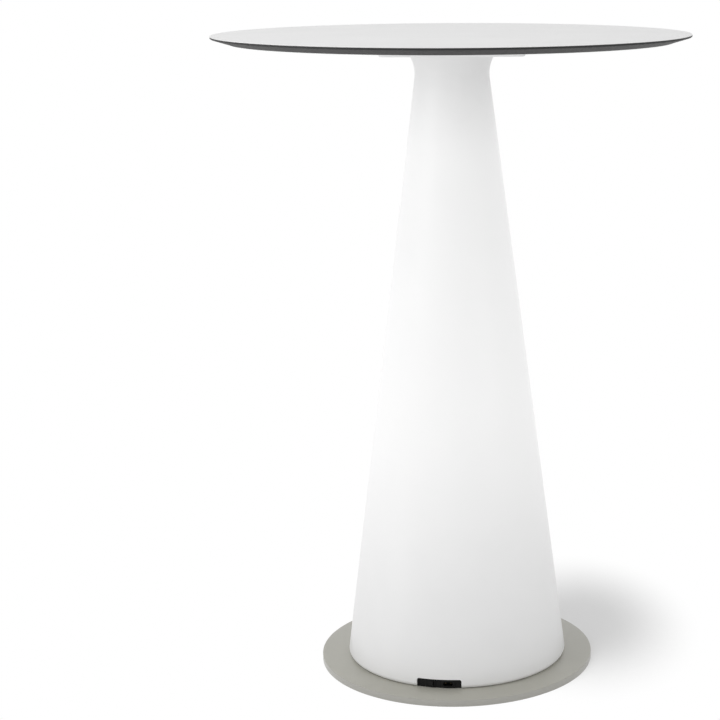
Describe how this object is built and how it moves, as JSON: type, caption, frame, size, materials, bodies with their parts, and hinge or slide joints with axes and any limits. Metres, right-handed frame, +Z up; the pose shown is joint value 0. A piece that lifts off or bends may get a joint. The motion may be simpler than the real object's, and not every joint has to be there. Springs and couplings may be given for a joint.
{
  "type": "light-up bar table",
  "caption": "Bar-height round table with a bevelled white top, a translucent tapered stem lit from inside by a post lamp, and a steel disc base.",
  "frame": {"origin": "on the floor, under the middle of the round base", "axes": "+Z up along the stem, -Y towards the side with the notch in the stem's foot"},
  "size_m": [0.8, 0.8, 1.1],
  "materials": {
    "white_laminate": "fine matt laminate",
    "dark_core": "sawn and sanded compact board",
    "white_steel": "fine powder coat",
    "lit_plastic": "satin translucent white plastic, lit from inside",
    "grey_steel": "satin powder coat, warm grey",
    "zinc_steel": "zinc plated",
    "brass": "plain",
    "aluminium": "anodised",
    "black_plastic": "moulded, satin",
    "black_rubber": "matt",
    "grey_plastic": "moulded",
    "opal_plastic": "opal, extruded",
    "white_board": "solder mask"
  },
  "bodies": {
    "table": {"top_face_sheet": "white_laminate", "top_core": "dark_core", "top_backing_sheet": "white_laminate", "top_screw_1": "zinc_steel", "top_screw_2": "zinc_steel", "top_screw_3": "zinc_steel", "top_screw_4": "zinc_steel", "top_mounting_pan": "white_steel", "collar_bolt_1": "zinc_steel", "collar_bolt_2": "zinc_steel", "collar_bolt_3": "zinc_steel", "collar_bolt_4": "zinc_steel", "collar_ring": "zinc_steel", "body_shell": "lit_plastic", "foot_ring": "zinc_steel", "base_bolt_1": "zinc_steel", "base_bolt_2": "zinc_steel", "base_bolt_3": "zinc_steel", "base_bolt_4": "zinc_steel", "base_plate": "grey_steel", "base_pad_1": "black_rubber", "base_pad_2": "black_rubber", "base_pad_3": "black_rubber", "base_pad_4": "black_rubber", "driver_housing": "black_plastic", "driver_housing_cover": "black_plastic", "cover_screw_1": "zinc_steel", "cover_screw_2": "zinc_steel", "housing_screw_1": "zinc_steel", "housing_screw_2": "zinc_steel", "led_driver": "grey_plastic", "switch_frame": "black_plastic", "switch_terminal_1": "brass", "switch_terminal_2": "brass", "power_inlet": "black_plastic", "inlet_pin_1": "brass", "inlet_pin_2": "brass", "switch_wire": "black_rubber", "inlet_wire": "black_rubber", "bridge_wire": "black_rubber", "lead_gland": "black_rubber", "lamp_lead": "black_rubber", "lamp_foot": "aluminium", "lamp_foot_screw_1": "zinc_steel", "lamp_foot_screw_2": "zinc_steel", "lamp_foot_screw_3": "zinc_steel", "lamp_post": "aluminium", "feed_connector": "white_board", "led_board_1": "white_board", "led_board_2": "white_board", "led_board_3": "white_board", "led_board_4": "white_board", "lamp_diffuser": "opal_plastic", "lower_cap": "grey_plastic", "lower_cap_screw": "zinc_steel", "upper_cap": "grey_plastic", "upper_cap_screw": "zinc_steel", "post_end_plug": "black_plastic"},
    "rocker": {"switch_rocker": "black_plastic"}
  },
  "joints": [
    {"name": "light_switch", "type": "hinge", "parent": "table", "child": "rocker", "pos_m": [-0.04549, -0.1811, 0.0202], "axis": [0, 0, 1], "range_deg": [0, 20]}
  ]
}
